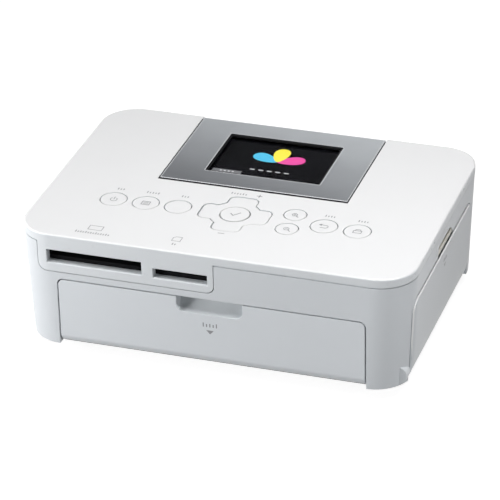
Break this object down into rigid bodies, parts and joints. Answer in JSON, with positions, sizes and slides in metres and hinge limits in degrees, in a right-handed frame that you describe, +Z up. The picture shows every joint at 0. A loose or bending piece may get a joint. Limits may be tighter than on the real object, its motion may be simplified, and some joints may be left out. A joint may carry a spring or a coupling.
{
  "type": "compact photo printer",
  "caption": "Compact photo printer: low white case with tilting colour screen, button row, card slots, drop-down paper door and side ink door over a working print mechanism.",
  "frame": {"origin": "on the table under the middle of the case", "axes": "+X to the printer's right-hand side seen from the front, the front faces -Y, +Z up"},
  "size_m": [0.178, 0.127, 0.0605],
  "materials": {
    "cover_white": "high gloss white",
    "shell_white": "satin gloss, very light cool grey white",
    "key_white": "gloss white",
    "pan_grey": "fine matt",
    "soft_black": "matt rubber",
    "pin_steel": "ground",
    "bezel_grey": "metallic grey satin",
    "window_clear": "clear, gloss",
    "module_black": "matt black",
    "board_green": "solder mask",
    "plated_sheet": "zinc plated",
    "gear_white": "natural acetal",
    "sink_aluminium": "extruded",
    "cassette_grey": "moulded dark grey",
    "ribbon_yellow": "thin dyed film"
  },
  "bodies": {
    "case": {"top_cover": "cover_white", "main_housing": "shell_white", "base_pan": "pan_grey", "rubber_feet": "soft_black", "keypad_board": "board_green", "key_domes": "pin_steel", "main_board": "board_green", "board_chips": "module_black", "large_card_connector": "module_black", "small_card_connector": "module_black", "io_board": "board_green", "dc_jack": "module_black", "usb_socket": "plated_sheet", "chassis": "plated_sheet", "gear_bracket": "plated_sheet", "feed_motor": "plated_sheet", "ribbon_motor": "plated_sheet", "ink_cassette": "cassette_grey", "ribbon_film": "ribbon_yellow", "case_screws": "pin_steel", "cover_screws": "pin_steel"},
    "paper_door": {"paper_door": "shell_white", "paper_door_pins": "pin_steel"},
    "ink_door": {"ink_door": "shell_white", "ink_door_pins": "pin_steel"},
    "display": {"display_bezel": "bezel_grey", "display_back": "bezel_grey", "display_window": "window_clear", "lcd_module": "module_black", "display_pins": "pin_steel"},
    "power_button": {"power_button": "key_white"},
    "menu_button": {"menu_button": "key_white"},
    "edit_button": {"edit_button": "key_white"},
    "ok_button": {"ok_button": "key_white"},
    "pad_cushion": {"pad_cushion": "soft_black"},
    "direction_pad": {"direction_pad": "key_white"},
    "zoom_in_button": {"zoom_in_button": "key_white"},
    "zoom_out_button": {"zoom_out_button": "key_white"},
    "back_button": {"back_button": "key_white"},
    "print_button": {"print_button": "key_white"},
    "feed_roller": {"feed_roller": "pin_steel", "feed_gear": "gear_white"},
    "idler_gear": {"idler_gear": "gear_white"},
    "upper_idler_gear": {"upper_idler_gear": "gear_white"},
    "feed_pinion": {"feed_pinion": "gear_white"},
    "pickup_roller": {"pickup_shaft": "pin_steel", "pickup_tyres": "soft_black", "pickup_gear": "gear_white"},
    "pinch_roller": {"pinch_roller": "soft_black"},
    "platen": {"platen_shaft": "pin_steel", "platen_rubber": "soft_black"},
    "print_head": {"head_arm": "plated_sheet", "head_pivot": "pin_steel", "head_heatsink": "sink_aluminium", "print_head": "module_black"},
    "supply_spool": {"supply_spool": "ribbon_yellow"},
    "takeup_spool": {"takeup_spool": "cassette_grey", "takeup_gear": "gear_white"},
    "ribbon_pinion": {"ribbon_pinion": "gear_white"}
  },
  "joints": [
    {"name": "screen_tilt", "type": "hinge", "parent": "case", "child": "display", "pos_m": [0, 0.0009, 0.0588], "axis": [1, 0, 0], "range_deg": [0, 45]},
    {"name": "paper_door_hinge", "type": "hinge", "parent": "case", "child": "paper_door", "pos_m": [0, -0.059, 0.0114], "axis": [1, 0, 0], "range_deg": [0, 90]},
    {"name": "ink_door_hinge", "type": "hinge", "parent": "case", "child": "ink_door", "pos_m": [0.08233, 0, 0.0112], "axis": [0, 1, 0], "range_deg": [0, 90]},
    {"name": "power_press", "type": "slide", "parent": "case", "child": "power_button", "axis": [0, 0, -1], "range_m": [0, 0.0005], "stiffness_N_per_m": 800, "springref_m": -0.0005},
    {"name": "menu_press", "type": "slide", "parent": "case", "child": "menu_button", "axis": [0, 0, -1], "range_m": [0, 0.0005], "stiffness_N_per_m": 800, "springref_m": -0.0005},
    {"name": "edit_press", "type": "slide", "parent": "case", "child": "edit_button", "axis": [0, 0, -1], "range_m": [0, 0.0005], "stiffness_N_per_m": 800, "springref_m": -0.0005},
    {"name": "zoom_in_press", "type": "slide", "parent": "case", "child": "zoom_in_button", "axis": [0, 0, -1], "range_m": [0, 0.0005], "stiffness_N_per_m": 800, "springref_m": -0.0005},
    {"name": "zoom_out_press", "type": "slide", "parent": "case", "child": "zoom_out_button", "axis": [0, 0, -1], "range_m": [0, 0.0005], "stiffness_N_per_m": 800, "springref_m": -0.0005},
    {"name": "back_press", "type": "slide", "parent": "case", "child": "back_button", "axis": [0, 0, -1], "range_m": [0, 0.0005], "stiffness_N_per_m": 800, "springref_m": -0.0005},
    {"name": "print_press", "type": "slide", "parent": "case", "child": "print_button", "axis": [0, 0, -1], "range_m": [0, 0.0005], "stiffness_N_per_m": 800, "springref_m": -0.0005},
    {"name": "ok_press", "type": "slide", "parent": "case", "child": "ok_button", "axis": [0, 0, -1], "range_m": [0, 0.0005], "stiffness_N_per_m": 800, "springref_m": -0.0005},
    {"name": "pad_left_right", "type": "hinge", "parent": "case", "child": "pad_cushion", "pos_m": [-0.0003, -0.0241, 0.05595], "axis": [0, 1, 0], "range_deg": [-1.2, 1.2], "stiffness_Nm_per_rad": 0.4},
    {"name": "pad_up_down", "type": "hinge", "parent": "pad_cushion", "child": "direction_pad", "pos_m": [-0.0003, -0.0241, 0.05595], "axis": [1, 0, 0], "range_deg": [-1.2, 1.2], "stiffness_Nm_per_rad": 0.4},
    {"name": "head_lift", "type": "hinge", "parent": "case", "child": "print_head", "pos_m": [0, 0.05, 0.044], "axis": [-1, 0, 0], "range_deg": [0, 3.5]},
    {"name": "feed_roller_spin", "type": "hinge", "parent": "case", "child": "feed_roller", "pos_m": [0, -0.008, 0.01673], "axis": [1, 0, 0], "continuous": true},
    {"name": "idler_spin", "type": "hinge", "parent": "case", "child": "idler_gear", "pos_m": [0, 0.01001, 0.02713], "axis": [1, 0, 0], "continuous": true},
    {"name": "feed_motor_spin", "type": "hinge", "parent": "case", "child": "feed_pinion", "pos_m": [0, 0.02485, 0.02114], "axis": [1, 0, 0], "continuous": true},
    {"name": "upper_idler_spin", "type": "hinge", "parent": "case", "child": "upper_idler_gear", "pos_m": [0, -0.01358, 0.03343], "axis": [1, 0, 0], "continuous": true},
    {"name": "pickup_spin", "type": "hinge", "parent": "case", "child": "pickup_roller", "pos_m": [0, -0.028, 0.02863], "axis": [1, 0, 0], "continuous": true},
    {"name": "pinch_spin", "type": "hinge", "parent": "case", "child": "pinch_roller", "pos_m": [0, -0.008, 0.02413], "axis": [1, 0, 0], "continuous": true},
    {"name": "platen_spin", "type": "hinge", "parent": "case", "child": "platen", "pos_m": [0, 0.01675, 0.01473], "axis": [1, 0, 0], "continuous": true},
    {"name": "takeup_spin", "type": "hinge", "parent": "case", "child": "takeup_spool", "pos_m": [0, 0.033, 0.03615], "axis": [1, 0, 0], "continuous": true},
    {"name": "ribbon_motor_spin", "type": "hinge", "parent": "case", "child": "ribbon_pinion", "pos_m": [0, 0.01845, 0.04455], "axis": [1, 0, 0], "continuous": true},
    {"name": "supply_spin", "type": "hinge", "parent": "case", "child": "supply_spool", "pos_m": [0, 0.0005, 0.03615], "axis": [1, 0, 0], "continuous": true}
  ],
  "couplings": [
    {"joint": "idler_spin", "follows": "feed_roller_spin", "ratio": -0.85714},
    {"joint": "feed_motor_spin", "follows": "feed_roller_spin", "ratio": 2},
    {"joint": "upper_idler_spin", "follows": "feed_roller_spin", "ratio": -1.2},
    {"joint": "pickup_spin", "follows": "feed_roller_spin", "ratio": 1.3333},
    {"joint": "ribbon_motor_spin", "follows": "takeup_spin", "ratio": -2.5}
  ]
}
